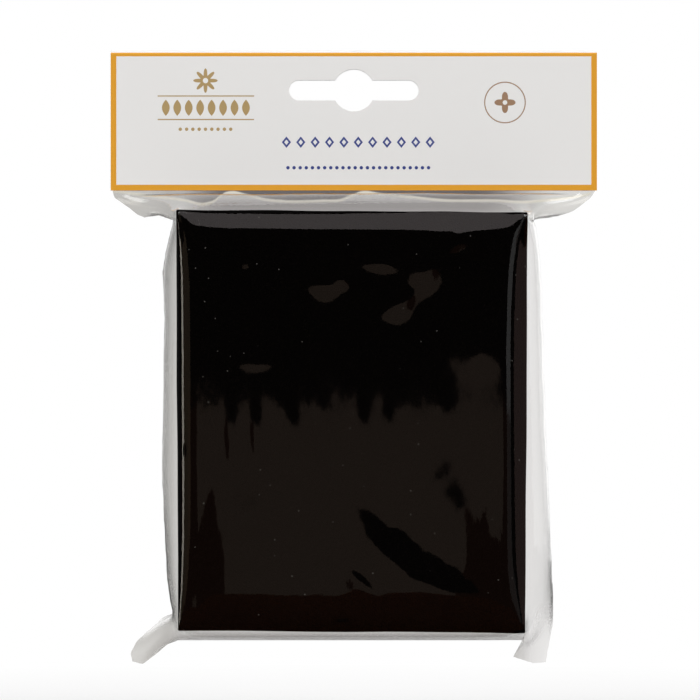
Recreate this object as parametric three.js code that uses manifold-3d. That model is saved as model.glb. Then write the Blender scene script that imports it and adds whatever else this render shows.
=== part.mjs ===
// A block of black craft foam, packed in a clear film bag that a folded hang card closes.
// Millimetres, +Z up. The pack hangs as it does on a shop hook, with its front towards -Y
// and the origin in the middle of the card's hang slot.
import * as THREE from 'three';
import { mergeVertices } from 'three/addons/utils/BufferGeometryUtils.js';
import Module from 'manifold-3d';

// Hang slot, the euro slot that shop hooks and pegs fit
const slotLength = 32;
const slotHeight = 5;
const slotEyeDiameter = 10.4;
const slotDrop = 9.8; // from the fold of the card down to the middle of the slot

// Card, one strip folded over the mouth of the bag
const cardWidth = 120;
const cardHeight = 34.5;
const cardThickness = 0.4;
const cardGap = 1.0; // between the two panels

// Film, modelled thicker than the real one so that it is a solid
const filmWall = 0.3;
const filmInset = 0.3; // the flat bag stops just short of the card's ends
const mouthFilmThickness = 0.3; // both layers pressed together
const mouthTuck = 16.5; // how far the mouth reaches up between the panels

// Glue that holds the mouth of the bag between the panels
const glueWidth = 8;
const glueLift = 4.5; // from the lower edge of the card
const glueInset = 2; // from each end of the film
const layGap = 0.05;

// Foam block
const foamWidth = 85;
const foamThickness = 30;
const foamHeight = 103;
const foamCornerRadius = 0.6;
const foamPressedRadius = 3; // at the middle of each edge, where the film presses hardest
const foamShift = -0.5; // the block lies a little to the left in its bag
const foamClearance = 0.3;

// Neck of the bag, where the card folds over
const foldDrop = 0.6; // from the lower edge of the card to the fold line
const foldGap = 0.3; // above and below the fold line
const neckLength = 0.9; // stretch where both layers hang together
const neckInnerGap = 0.3;
const shoulderDrop = 2.6; // how far the film falls from the neck to the block's top edges
const wingDrop = 2.5; // depth of the folded corners beside the block's top

// Sides and bottom of the bag
const leftStand = 3.9; // how far the film stands off the block's sides
const rightStand = 5.2;
const rightStandLow = 7.4;
const cornerStand = 1.2;
const seamDrop = 2.1; // from the block's bottom edges down to the seam
const seamHem = 0.6;
const sideRoundness = 1.15; // nearly a sharp fold, as the flat bag has
// How much of its full stand each side has, by the share of the block's height
const sideShares = [
  { heightShare: 0.02, leftShare: 0.5, rightShare: 1 },
  { heightShare: 0.08, leftShare: 0.8, rightShare: 1 },
  { heightShare: 0.2, leftShare: 1, rightShare: 1 },
  { heightShare: 0.4, leftShare: 1, rightShare: 1 },
  { heightShare: 0.6, leftShare: 1, rightShare: 1 },
  { heightShare: 0.85, leftShare: 1, rightShare: 0.7 },
  { heightShare: 0.94, leftShare: 0.5, rightShare: 0.4 },
];
const sagShare = 0.6; // the right side hangs fuller below this share of the height
// How far the folded corners beside the block's top reach towards the flat bag's edge
const wingShares = [
  { dropShare: 1, reachShare: 0.3, roundness: 1.5 },
  { dropShare: 0.5, reachShare: 0.66, roundness: 1.3 },
  { dropShare: 0, reachShare: 0.76, roundness: 1.3 },
];

// Corner ears, the spare corners of the flat bag. The left one sticks out, the right one
// is folded down. Angles are degrees from +X in the front view, widths lie in it too, and
// lean is how far the tip points backwards.
const leftEar = { stand: 2.3, length: 12.6, angle: -138, width: 7, lean: -8 };
const rightEar = { stand: 2.4, length: 9.4, angle: -93, width: 9.4, lean: 7 };
const earRootDepth = 24;
const earTipDepth = 1.6;

const cutOverrun = 2;

// Finishes
const cardPaper = { color: 0xf1f0ee, roughness: 0.55, metalness: 0 };
const clearFilm = { color: 0xdfe2e3, roughness: 0.12, metalness: 0, transparent: true, opacity: 0.3 };
const blackFoam = { color: 0x0d0a09, roughness: 0.95, metalness: 0 };
const driedGlue = { color: 0xd9d2bd, roughness: 0.4, metalness: 0 };

// The bag laid flat
const filmWidth = cardWidth - 2 * filmInset;

// Heights along the pack, from the slot down
const cardTop = slotDrop;
const cardBottom = cardTop - cardHeight;
const foldLine = cardBottom - foldDrop;
const neckTop = foldLine - foldGap;
const neckBottom = neckTop - neckLength;
const shoulderLevel = neckBottom - shoulderDrop;
const foamTop = shoulderLevel - filmWall - foamClearance;
const foamBottom = foamTop - foamHeight;
const floorLevel = foamBottom - foamClearance - filmWall;
const seamLevel = floorLevel - seamDrop;

const wasm = await Module();
wasm.setup();

// A closed three.js geometry as a solid that can be cut and joined.
function solidOf(geometry) {
  const bare = geometry.clone();
  bare.deleteAttribute('normal');
  bare.deleteAttribute('uv');
  const merged = mergeVertices(bare);
  return new wasm.Manifold(
    new wasm.Mesh({
      numProp: 3,
      vertProperties: new Float32Array(merged.attributes.position.array),
      triVerts: new Uint32Array(merged.index.array),
    }),
  );
}

// The other way round, for the finished mesh.
function geometryOf(solid) {
  const { vertProperties, triVerts } = solid.getMesh();
  const geometry = new THREE.BufferGeometry();
  geometry.setAttribute('position', new THREE.BufferAttribute(vertProperties, 3));
  geometry.setIndex(new THREE.BufferAttribute(triVerts, 1));
  const faceted = geometry.toNonIndexed();
  faceted.computeVertexNormals();
  return faceted;
}

// A closed body over rings of points with as many points each, with a fan at both ends.
// The rings turn anticlockwise when seen from beyond the last ring.
function loft(rings) {
  const count = rings[0].length;
  const middleOf = (ring) =>
    ring.reduce((sum, point) => sum.add(point), new THREE.Vector3()).divideScalar(count);
  const points = [...rings.flat(), middleOf(rings[0]), middleOf(rings.at(-1))];
  const first = points.length - 2;
  const last = points.length - 1;
  const faces = [];
  for (let i = 0; i < count; i += 1) {
    const next = (i + 1) % count;
    for (let r = 0; r + 1 < rings.length; r += 1) {
      const low = r * count;
      const high = low + count;
      faces.push(low + i, low + next, high + next);
      faces.push(low + i, high + next, high + i);
    }
    const top = (rings.length - 1) * count;
    faces.push(first, next, i);
    faces.push(last, top + i, top + next);
  }
  const geometry = new THREE.BufferGeometry().setFromPoints(points);
  geometry.setIndex(faces);
  return geometry;
}

function between(from, to, share) {
  return from + (to - from) * share;
}

// Card: a strip folded in half over a small round fold, with the slot through both panels.
function headerCard() {
  const innerRadius = cardGap / 2;
  const outerRadius = innerRadius + cardThickness;
  const foldCentre = cardTop - outerRadius;
  const profile = new THREE.Shape();
  profile.moveTo(-outerRadius, cardBottom);
  profile.lineTo(-outerRadius, foldCentre);
  profile.absarc(0, foldCentre, outerRadius, Math.PI, 0, true);
  profile.lineTo(outerRadius, cardBottom);
  profile.lineTo(innerRadius, cardBottom);
  profile.lineTo(innerRadius, foldCentre);
  profile.absarc(0, foldCentre, innerRadius, 0, Math.PI, false);
  profile.lineTo(-innerRadius, cardBottom);
  profile.closePath();
  const strip = new THREE.ExtrudeGeometry(profile, {
    depth: cardWidth,
    bevelEnabled: false,
    curveSegments: 6,
  });
  // The profile's own axes are the card's Y and Z, and it is drawn along X.
  strip.translate(0, 0, -cardWidth / 2);
  strip.applyMatrix4(new THREE.Matrix4().set(0, 0, 1, 0, 1, 0, 0, 0, 0, 1, 0, 0, 0, 0, 0, 1));
  return geometryOf(solidOf(strip).subtract(solidOf(slotCutter(2 * (outerRadius + cutOverrun)))));
}

// The slot's outline: a long hole with round ends, widened by a round eye in the middle.
function slotCutter(depth) {
  const endRadius = slotHeight / 2;
  const endCentre = slotLength / 2 - endRadius;
  const eyeRadius = slotEyeDiameter / 2;
  const meet = Math.asin(endRadius / eyeRadius);
  const outline = new THREE.Shape();
  outline.absarc(endCentre, 0, endRadius, -Math.PI / 2, Math.PI / 2, false);
  outline.absarc(0, 0, eyeRadius, meet, Math.PI - meet, false);
  outline.absarc(-endCentre, 0, endRadius, Math.PI / 2, (3 * Math.PI) / 2, false);
  outline.absarc(0, 0, eyeRadius, Math.PI + meet, 2 * Math.PI - meet, false);
  outline.closePath();
  const cutter = new THREE.ExtrudeGeometry(outline, { depth, bevelEnabled: false, curveSegments: 16 });
  cutter.translate(0, 0, -depth / 2);
  cutter.rotateX(Math.PI / 2);
  return cutter;
}

// Mouth of the bag: its two layers pressed flat between the card's panels.
function bagMouth() {
  const low = foldLine + foldGap;
  const high = cardBottom + mouthTuck;
  const mouth = new THREE.BoxGeometry(filmWidth, mouthFilmThickness, high - low);
  mouth.translate(0, 0, (low + high) / 2);
  return mouth;
}

// Glue: a thin strip between a panel and the film, side being -1 in front and 1 behind.
function glueStrip(side) {
  const inner = mouthFilmThickness / 2 + layGap;
  const outer = cardGap / 2 - layGap;
  const strip = new THREE.BoxGeometry(filmWidth - 2 * glueInset, outer - inner, glueWidth);
  strip.translate(0, (side * (inner + outer)) / 2, cardBottom + glueLift + glueWidth / 2);
  return strip;
}

// Foam: a cut block whose front and back borders the film presses round, least at the
// corners and most at the middle of each edge. A unit block's points are spread out by a
// sine, so that they crowd at the edges.
function foamPad() {
  const steps = 20;
  const half = new THREE.Vector3(foamWidth, foamThickness, foamHeight).divideScalar(2);
  const block = new THREE.BoxGeometry(2, 2, 2, steps, 1, steps);
  const points = block.attributes.position;
  for (let i = 0; i < points.count; i += 1) {
    const across = Math.sin((points.getX(i) * Math.PI) / 2);
    const up = Math.sin((points.getZ(i) * Math.PI) / 2);
    const depth = points.getY(i);
    const cornerShare = Math.min(Math.abs(across), Math.abs(up)) ** 4;
    const radius = between(foamPressedRadius, foamCornerRadius, cornerShare);
    const inset = Math.min(half.x * (1 - Math.abs(across)), half.z * (1 - Math.abs(up)));
    const short = Math.max(radius - inset, 0);
    const crown = Math.abs(depth) === 1 ? Math.sqrt(radius ** 2 - short ** 2) : 0;
    const y = depth * (half.y - radius + crown);
    points.setXYZ(i, half.x * across, y, half.z * up);
  }
  block.translate(foamShift, 0, foamTop - half.z);
  return geometryOf(solidOf(block));
}

// One level of the bag: flat panels in front and behind, and sides that run out to left
// and right along a superellipse. A roundness of 1 is a sharp fold, 2 a round bulge, and
// a high one a blunt edge. inset moves the film inwards for the inner face of its wall.
function bagRing({ level, halfDepth, left, right, roundness }, inset) {
  const sideSteps = 12;
  const panelSteps = 6;
  const panelHalf = foamWidth / 2 + foamClearance + filmWall - inset;
  const depth = halfDepth - inset;
  const power = 2 / roundness;
  const side = (reach, turn) => {
    const stand = reach - 2 * inset - panelHalf;
    const curve = [];
    for (let i = 0; i <= sideSteps; i += 1) {
      const angle = turn * (i / sideSteps - 0.5) * Math.PI;
      const out = panelHalf + stand * Math.cos(angle) ** power;
      const back = Math.sign(angle) * depth * Math.abs(Math.sin(angle)) ** power;
      curve.push([turn * out + foamShift, back]);
    }
    return curve;
  };
  const panel = (from, y) => {
    const run = [];
    for (let i = 1; i < panelSteps; i += 1) {
      run.push([foamShift + from * panelHalf * (1 - (2 * i) / panelSteps), y]);
    }
    return run;
  };
  const outline = [...side(right, 1), ...panel(1, depth), ...side(left, -1), ...panel(-1, -depth)];
  return outline.map(([x, y]) => new THREE.Vector3(x, y, level));
}

// Levels of the bag from its seam up to its mouth. rise lifts the inner face of the wall
// over the closed bottom and lowers it under the slanting shoulders.
function bagLevels() {
  const halfBody = foamThickness / 2 + foamClearance + filmWall;
  const halfNeck = filmWall + neckInnerGap / 2;
  const panelHalf = foamWidth / 2 + foamClearance + filmWall;
  const seamOut = panelHalf + filmWall;
  const cornerOut = panelHalf + cornerStand;
  const leftOut = foamWidth / 2 + leftStand;
  const rightOut = foamWidth / 2 + rightStand;
  const rightLowOut = foamWidth / 2 + rightStandLow;
  const flatLeft = filmWidth / 2 + foamShift;
  const flatRight = filmWidth / 2 - foamShift;
  const seam = { halfDepth: halfNeck, left: seamOut, right: seamOut, roundness: 6, rise: 1 };
  const corner = { halfDepth: halfBody, left: cornerOut, right: cornerOut, roundness: sideRoundness };
  const neck = { halfDepth: halfNeck, left: flatLeft, right: flatRight, roundness: 6 };
  const sides = sideShares.map(({ heightShare, leftShare, rightShare }) => {
    const rightFull = between(rightLowOut, rightOut, Math.min(heightShare / sagShare, 1));
    return {
      level: foamBottom + heightShare * foamHeight,
      halfDepth: halfBody,
      left: between(cornerOut, leftOut, leftShare),
      right: between(cornerOut, rightFull, rightShare),
      roundness: sideRoundness,
      rise: 0,
    };
  });
  const wings = wingShares.map(({ dropShare, reachShare, roundness }) => ({
    level: shoulderLevel - dropShare * wingDrop,
    halfDepth: halfBody,
    left: between(panelHalf, flatLeft, reachShare),
    right: between(panelHalf, flatRight, reachShare),
    roundness,
    rise: dropShare === 0 ? -1 : 0,
  }));
  return [
    { ...seam, level: seamLevel - seamHem },
    { ...seam, level: seamLevel },
    { ...corner, level: floorLevel, rise: 1 },
    ...sides,
    { ...corner, level: shoulderLevel - wingDrop - cornerStand, rise: 0 },
    ...wings,
    { ...neck, level: neckBottom, rise: -1 },
    { ...neck, level: neckTop, rise: 0 },
  ];
}

// An ear: a pocket of film from the block's bottom corner, wide in depth at its root,
// flat at its rounded tip. inset gives the inner face of its wall.
function ear(side, { stand, length, angle, width, lean }, inset) {
  const steps = 10;
  const sides = 20;
  const turn = THREE.MathUtils.degToRad(angle);
  const along = new THREE.Vector3(Math.cos(turn), 0, Math.sin(turn));
  const across = new THREE.Vector3(Math.sin(turn), 0, -Math.cos(turn));
  const depthWay = new THREE.Vector3(0, 1, 0);
  const root = new THREE.Vector3(foamShift + side * (foamWidth / 2 + stand), 0, foamBottom);
  const rings = [];
  for (let i = 0; i <= steps; i += 1) {
    const share = i / steps;
    const round = Math.sqrt(Math.max(1 - share ** 6, 0.04));
    const halfWidth = (width / 2) * round - inset;
    const halfDepth = between(earRootDepth, earTipDepth, share) / 2 - inset;
    const middle = root.clone().addScaledVector(along, share * (length - inset));
    middle.addScaledVector(depthWay, share * lean);
    const ring = [];
    for (let k = 0; k < sides; k += 1) {
      const around = (2 * Math.PI * k) / sides;
      ring.push(
        middle
          .clone()
          .addScaledVector(across, halfWidth * Math.cos(around))
          .addScaledVector(depthWay, halfDepth * Math.sin(around)),
      );
    }
    rings.push(ring);
  }
  return loft(rings);
}

// Both ears, as the outer or the inner face of their wall.
function ears(inset) {
  return solidOf(ear(-1, leftEar, inset)).add(solidOf(ear(1, rightEar, inset)));
}

// Bag: the outer and inner faces are lofts over the same levels with the ears joined on,
// and the inner one is cut out, through the open mouth at the top.
function bag() {
  const levels = bagLevels();
  const outer = solidOf(loft(levels.map((level) => bagRing(level, 0))));
  const inner = levels.map((level) => ({ ...level, level: level.level + level.rise * filmWall }));
  inner.push({ ...inner.at(-1), level: neckTop + cutOverrun });
  const hollow = solidOf(loft(inner.map((level) => bagRing(level, filmWall))));
  return geometryOf(outer.add(ears(0)).subtract(hollow.add(ears(filmWall))));
}

const pack = new THREE.Group();

function piece(name, geometry, finish) {
  const mesh = new THREE.Mesh(geometry, new THREE.MeshStandardMaterial(finish));
  mesh.name = name;
  pack.add(mesh);
}

piece('header_card', headerCard(), cardPaper);
piece('bag_mouth', bagMouth(), clearFilm);
piece('glue_strip_front', glueStrip(-1), driedGlue);
piece('glue_strip_back', glueStrip(1), driedGlue);
piece('bag', bag(), clearFilm);
piece('foam_pad', foamPad(), blackFoam);

export default pack;
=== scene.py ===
"""A block of black craft foam in a clear film bag, closed by a folded hang card.

Metres, +Z up, front towards -Y, with the origin in the middle of the card's hang slot."""

import bpy
import numpy as np
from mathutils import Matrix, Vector


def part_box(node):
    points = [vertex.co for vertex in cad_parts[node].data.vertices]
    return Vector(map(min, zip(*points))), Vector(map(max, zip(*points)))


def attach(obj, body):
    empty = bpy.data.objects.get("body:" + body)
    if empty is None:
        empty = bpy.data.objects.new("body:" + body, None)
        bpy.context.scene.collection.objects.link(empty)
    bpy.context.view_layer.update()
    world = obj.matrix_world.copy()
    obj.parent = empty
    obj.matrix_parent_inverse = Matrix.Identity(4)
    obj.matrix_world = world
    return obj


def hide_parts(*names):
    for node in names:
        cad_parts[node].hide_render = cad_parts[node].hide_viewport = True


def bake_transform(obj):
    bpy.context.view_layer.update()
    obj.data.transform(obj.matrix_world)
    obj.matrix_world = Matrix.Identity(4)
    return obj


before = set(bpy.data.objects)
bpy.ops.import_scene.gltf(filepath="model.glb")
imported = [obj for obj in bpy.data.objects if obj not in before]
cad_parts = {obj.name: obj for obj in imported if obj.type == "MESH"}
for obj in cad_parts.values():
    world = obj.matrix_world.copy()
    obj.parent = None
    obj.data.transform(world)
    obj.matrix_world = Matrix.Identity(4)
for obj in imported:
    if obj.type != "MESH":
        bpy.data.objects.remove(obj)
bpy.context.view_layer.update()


# Foam block: polyurethane foam cut from a slab with a blade, 85 x 30 x 103 mm, with pores
# of under half a millimetre. It stands loose in the bag, and the film presses its edges a
# little round.
MM = 0.001
foam_low, foam_high = (np.array(corner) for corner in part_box("foam_pad"))
foam_centre, foam_half = (foam_high + foam_low) / 2, (foam_high - foam_low) / 2
# How far the rounding of the front and back borders reaches in from the left, right, bottom
# and top edge, and how deep it is, at the middle of the edge, and the share left at a corner
LEFT_REACH, RIGHT_REACH, BOTTOM_REACH, TOP_REACH = 3.1 * MM, 5.4 * MM, 5.0 * MM, 3.9 * MM
PRESSED_DEPTH = 2.6 * MM
CORNER_SHARE = 0.1
# How sharply the rounding sets in: along the top and bottom, and up and down the sides
LEVEL_POWER, UPPER_POWER, LOWER_POWER = 10, 6, 4
CUT_WAVE = 0.12 * MM  # how far a cut face wanders from true
CUT_WAVE_PITCH = 22 * MM
# The block hangs a little askew, lower on its right, and is cut wider at its top.
ASKEW_DROP = 0.33 * MM
ASKEW_SPREAD = 0.49 * MM
FOAM_LINES = 128  # of the grid on each face
WELD = 0.001 * MM
PORE_PITCH = 0.42 * MM
PORE_DEPTH = 0.25 * MM
CLUMP_PITCH = 2.4 * MM
DUST_PITCH = 3.6 * MM
DUST_SIZE = (0.03, 0.05)  # where a speck starts and ends to thin out, in parts of its pitch
# Painted shade and painted light: darker and lighter copies of the foam's black for the dents of
# its pores and the walls between them
PORE_SHADE_COLOUR = (0.00035, 0.000245, 0.00021, 1)
LIT_WALL_COLOUR = (0.0022, 0.00154, 0.00132, 1)
DUST_COLOUR = (0.32, 0.31, 0.3, 1)


def node(tree, kind, inputs=(), **settings):
    """A shader node with its settings and inputs. An input is a value, or (node, output)."""
    made = tree.nodes.new(kind)
    for name, value in settings.items():
        setattr(made, name, value)
    for name, value in dict(inputs).items():
        if isinstance(value, tuple) and isinstance(value[0], bpy.types.Node):
            tree.links.new(value[0].outputs[value[1]], made.inputs[name])
        else:
            made.inputs[name].default_value = value
    return made


def calc(tree, operation, *values):
    """A maths node's result, from values or (node, output) pairs."""
    return node(tree, "ShaderNodeMath", dict(enumerate(values)), operation=operation), 0


def ramp(tree, value, low, high, out=(0.0, 1.0), kind="LINEAR"):
    """value mapped from low..high to the two numbers of out, and held there beyond them."""
    ends = {"From Min": low, "From Max": high, "To Min": out[0], "To Max": out[1]}
    return node(tree, "ShaderNodeMapRange", {"Value": value, **ends}, interpolation_type=kind), 0


def colour_between(tree, share, first, second):
    """The colour that goes from the first to the second as share goes from 0 to 1."""
    return node(tree, "ShaderNodeMix", {0: share, 6: first, 7: second}, data_type="RGBA"), 2


def noise(tree, place, pitch, detail=3.0, roughness=0.5):
    """Soft cloudy noise with blots of about the given pitch."""
    sizes = {"Scale": 1 / pitch, "Detail": detail, "Roughness": roughness}
    return node(tree, "ShaderNodeTexNoise", {"Vector": place, **sizes}), "Fac"


def cells(tree, place, pitch):
    """The distance from the nearest of the middles of irregular cells, in cell widths."""
    return node(tree, "ShaderNodeTexVoronoi", {"Vector": place, "Scale": 1 / pitch}), "Distance"


def new_material(name):
    """An empty node material and its output node."""
    material = bpy.data.materials.new(name)
    material.use_nodes = True
    material.node_tree.nodes.clear()
    return material, material.node_tree.nodes.new("ShaderNodeOutputMaterial")


def wander(points, pitch, seed, waves=8):
    """Smooth noise of about -1 to 1 at points: a sum of sines whose directions and phases are
    drawn from seed, with wavelengths round pitch, over 1.6 times the root of their number."""
    draw = np.random.default_rng(seed)
    total = np.zeros(points.shape[:-1])
    for _ in range(waves):
        way = draw.normal(size=3)
        way *= 2 * np.pi / (pitch * draw.uniform(0.7, 1.6) * np.linalg.norm(way))
        total += np.sin(points @ way + draw.uniform(0, 2 * np.pi))
    return total / waves**0.5 / 1.6


def mesh_piece(name, points, faces, material):
    """A smooth-shaded mesh object at the origin."""
    mesh = bpy.data.meshes.new(name)
    mesh.from_pydata(points.reshape(-1, 3).tolist(), [], faces.tolist())
    mesh.polygons.foreach_set("use_smooth", np.ones(len(faces), bool))
    mesh.materials.append(material)
    piece = bpy.data.objects.new(name, mesh)
    bpy.context.scene.collection.objects.link(piece)
    return piece


def foam_material():
    """Dull black with painted shade in its cells' dents, painted light on their walls, and dust.
    """
    material, output = new_material("cut_black_foam")
    tree = material.node_tree
    place = node(tree, "ShaderNodeTexCoord"), "Object"
    pores = cells(tree, place, PORE_PITCH)
    # Painted shade in the pores' dented middles, painted light on the walls between them
    shade = node(tree, "ShaderNodeValToRGB", {"Fac": pores})
    shade.color_ramp.elements[0].color = PORE_SHADE_COLOUR
    shade.color_ramp.elements[1].color = LIT_WALL_COLOUR
    shade.color_ramp.elements[1].position = 0.8
    # Half-clear specks of dust at the middles of wide cells
    dust = ramp(tree, cells(tree, place, DUST_PITCH), *DUST_SIZE, out=(0.5, 0.0))
    colour = colour_between(tree, dust, (shade, "Color"), DUST_COLOUR)
    clumps = noise(tree, place, CLUMP_PITCH, 4.0, 0.6)
    height = calc(tree, "ADD", pores, clumps)
    dents = {"Height": height, "Strength": 0.7, "Distance": PORE_DEPTH}
    bump = node(tree, "ShaderNodeBump", dents)
    dull = {"Roughness": 0.92, "Specular IOR Level": 0.01}
    looks = {"Base Color": colour, "Normal": (bump, "Normal"), **dull}
    surface = node(tree, "ShaderNodeBsdfPrincipled", looks)
    tree.links.new(surface.outputs[0], output.inputs[0])
    return material


def askew(points, turn):
    """Points moved with turn 1 from a true box to the block as it hangs, and with turn -1
    back again: across by the spread, which grows evenly from the bottom to the top, and down
    by the drop, which grows evenly from nothing on the left."""
    place = (points - foam_centre) / foam_half
    moved = points.copy()
    moved[..., 0] += turn * ASKEW_SPREAD * place[..., 0] * (1 + place[..., 2]) / 2
    moved[..., 2] -= turn * ASKEW_DROP * (1 + place[..., 0])
    return moved


def off_centre(points, gap):
    """Each point's nearest place in the block's unpressed core, its way out from there, and
    the length of that way in units of the rounding, which is 1 on the block's skin. The
    rounding is an ellipse along each edge, and it grows from its corner share to the whole
    as one less a power of the distance from the edge's middle. The higher the power, the
    nearer to the corner it has grown."""
    place = points - foam_centre
    share = np.clip(np.abs(place) / foam_half, 0, 1)
    sideways = share[..., 0] ** LEVEL_POWER
    upright = share[..., 2] ** np.where(place[..., 2] > 0, UPPER_POWER, LOWER_POWER)
    rise = 1 - np.minimum(sideways, upright)
    width = np.where(place[..., 0] < 0, LEFT_REACH, RIGHT_REACH)
    height = np.where(place[..., 2] < 0, BOTTOM_REACH, TOP_REACH)
    rounding = np.stack([width, np.full_like(width, PRESSED_DEPTH), height], -1)
    rounding *= (CORNER_SHARE + (1 - CORNER_SHARE) * rise)[..., None]
    core = np.clip(place, rounding - foam_half, foam_half - rounding)
    out = place - core
    far = np.linalg.norm(out / (rounding + gap), axis=-1, keepdims=True)
    return foam_centre + core, out, far


def foam_surface(lines):
    """The six faces of a box as grids whose lines crowd towards the edges by a sine, with
    every point drawn in to the block's rounded skin."""
    across = np.sin(np.linspace(-np.pi / 2, np.pi / 2, lines))
    grids, faces, start = [], [], 0
    for axis in range(3):
        for side in (-1, 1):
            first, second = (axis + 1) % 3, (axis + 2) % 3
            grid = np.zeros((lines, lines, 3))
            grid[..., axis] = side
            grid[..., first] = across[:, None]
            grid[..., second] = across[None, :]
            index = start + np.arange(lines * lines).reshape(lines, lines)
            corners = [index[:-1, :-1], index[1:, :-1], index[1:, 1:], index[:-1, 1:]]
            faces.append(np.stack(corners[::side], -1).reshape(-1, 4))
            core, out, far = off_centre(foam_centre + grid * foam_half, 0)
            grids.append(askew(core + out / far, 1).reshape(-1, 3))
            start += lines * lines
    return np.concatenate(grids), np.concatenate(faces)


def foam_block():
    points, faces = foam_surface(FOAM_LINES)
    # The six grids share the points of their edges.
    _, kept, index = np.unique(
        np.round(points / WELD), axis=0, return_index=True, return_inverse=True
    )
    points, faces = points[kept], index.reshape(-1)[faces]
    waves = [wander(points, CUT_WAVE_PITCH, seed) for seed in (3, 4, 5)]
    points += CUT_WAVE * np.stack(waves, -1)
    return mesh_piece("foam_block", points, faces, foam_material())


foam = foam_block()
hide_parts("foam_pad")
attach(foam, "pack")


# Film bag: a tube of clear polypropylene film laid flat, sealed across its lower end. The
# card holds its mouth, and the sheet spreads from there over the block's top edges, lies
# on its front and back, and stands off its sides, with the spare corners as two ears.
FLAT_WIDTH = 119.4 * MM
CARD_BOTTOM = -24.7 * MM
NECK_BOTTOM = -25.3 * MM  # the two layers hang together down to here
NECK_HALF = 0.4 * MM
NECK_WAVE = 0.5 * MM
SEAM_LEVEL = -135.5 * MM
MOUTH_TUCK = 4 * MM
HELD_LENGTH = MOUTH_TUCK + 0.2 * MM  # the card holds this much of the sheet
MOUTH_SPREAD = 15 * MM  # the sheet comes to stand over the block's middle down to here
FILM_LENGTH = 139.2 * MM  # from the tucked end to the seam
LAYER_GAP = 0.12 * MM  # half of the space between the two layers
FOAM_GAP = 0.12 * MM
PUCKER_SHARE = 0.12  # how strongly it pushes back when pressed together, next to stretched
SPRING = 0.04  # how strongly the film's stiffness evens out its bends
STRETCH, SHEAR = 0.38, 0.14  # how strongly it pulls back when stretched along and aslant
CARRY = 0.93  # the share of its last move that a point carries on
FOLD_HOLD, SEAM_HOLD = 0.35, 0.3  # how closely the folds and the seam keep to their places
SHAKE = 0.2 * MM  # unevenness of the sheet before it settles
# Points round and down the sheet, steps, and the push outwards at each step in mm
SETTLING = [(80, 47, 600, 0.004), (160, 93, 400, 0.002), (400, 232, 240, 0.001)]
FACE_LIFT = 0.16 * MM  # how far the film may stand off the block's front and back
SIDE_LIFT = 4 * MM  # and beyond its edges
FILM_TINT = (0.875, 0.87, 0.855, 1)
LEFT_PAINTED_SHADE = (0.765, 0.757, 0.74, 1)  # painted shade: the film's left side darker
# painted light: the film's right side lighter
RIGHT_PAINTED_LIGHT = (0.925, 0.918, 0.912, 1)
# painted light: the right ear lighter
RIGHT_EAR_PAINTED_LIGHT = (0.985, 0.98, 0.975, 1)
ROOF_PAINTED_SHADE = (0.61, 0.595, 0.59, 1)  # painted shade where the sheet runs from the card to the block's edge, and at half strength below the block
ROOF_LEVEL = -28.6 * MM
# painted shadow of the card on the film just below it
CARD_SHADOW_PAINT = (0.2, 0.185, 0.19, 1)
# painted reflection of the card's orange border, a creamy line along the shadow's edge
BORDER_REFLECTION_PAINT = (0.9, 0.87, 0.78, 1)
# Where each painted shade, light, shadow and reflection sets in, from none of it to the whole:
# places across or up the bag, or ways off the roof's level or the painted shadow's edge
MIDDLE_BAND = (52 * MM, 30 * MM)
LEFT_BAND = (-42 * MM, -46 * MM)
RIGHT_BAND, RIGHT_TOP = (39 * MM, 43 * MM), (-30 * MM, -34 * MM)
RIGHT_EAR_BAND, RIGHT_EAR_TOP = (42 * MM, 44 * MM), (-128 * MM, -133 * MM)
ROOF_BAND, UNDER_BAND = (3.8 * MM, 0.4 * MM), (-132 * MM, -134 * MM)
CARD_SHADOW_BAND, BORDER_REFLECTION_BAND = (0.0, 0.4 * MM), (0.55 * MM, 0.15 * MM)
# The crinkles' size, how far forward or back from the middle the film turns from slack to
# taut and from dull to bright, and where the dull ears begin
CRINKLE_PITCH, CRINKLE_DEPTH = 4 * MM, 0.5 * MM
SLACK_BAND, SMOOTH_BAND = (13.5 * MM, 15 * MM), (9 * MM, 12 * MM)
DULL_BAND, DULL_TOP = (43.5 * MM, 45.5 * MM), (-126 * MM, -131 * MM)
# The painted shadow of the card on the front layer reaches down to a wavy edge through these
# points (x, z) in mm.
CARD_SHADOW_EDGE = [
    (-59.5, -24.8), (-49.1, -26.2), (-41.7, -27.3), (-36.5, -28.3), (-33.8, -27.3),
    (-32.3, -25.8), (-30.3, -25.2), (-26.9, -25.8), (-21.7, -27.2), (-17.7, -27.6),
    (-7.4, -27.5), (-2.7, -27.2), (-0.4, -26.1), (2.0, -25.2), (6.5, -25.7), (13.6, -26.5),
    (22.0, -27.4), (34.9, -27.5), (41.3, -27.8), (47.5, -27.2), (56.1, -26.0), (59.1, -25.3),
]
EAR_ROOT, EAR_TIP = -129 * MM, -141.4 * MM
EAR_LEANS = (-8 * MM, 7 * MM)  # how far the left and right tips point forward or back
OUTLINE_PITCH, OUTLINE_MARGIN = 0.4 * MM, 6 * MM
FOLD_DRIFT = 0.9 * MM  # how far the folds wander forward and back beside the block
MOUTH_HALF = 59.7  # half of the mouth's width, in mm
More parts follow.
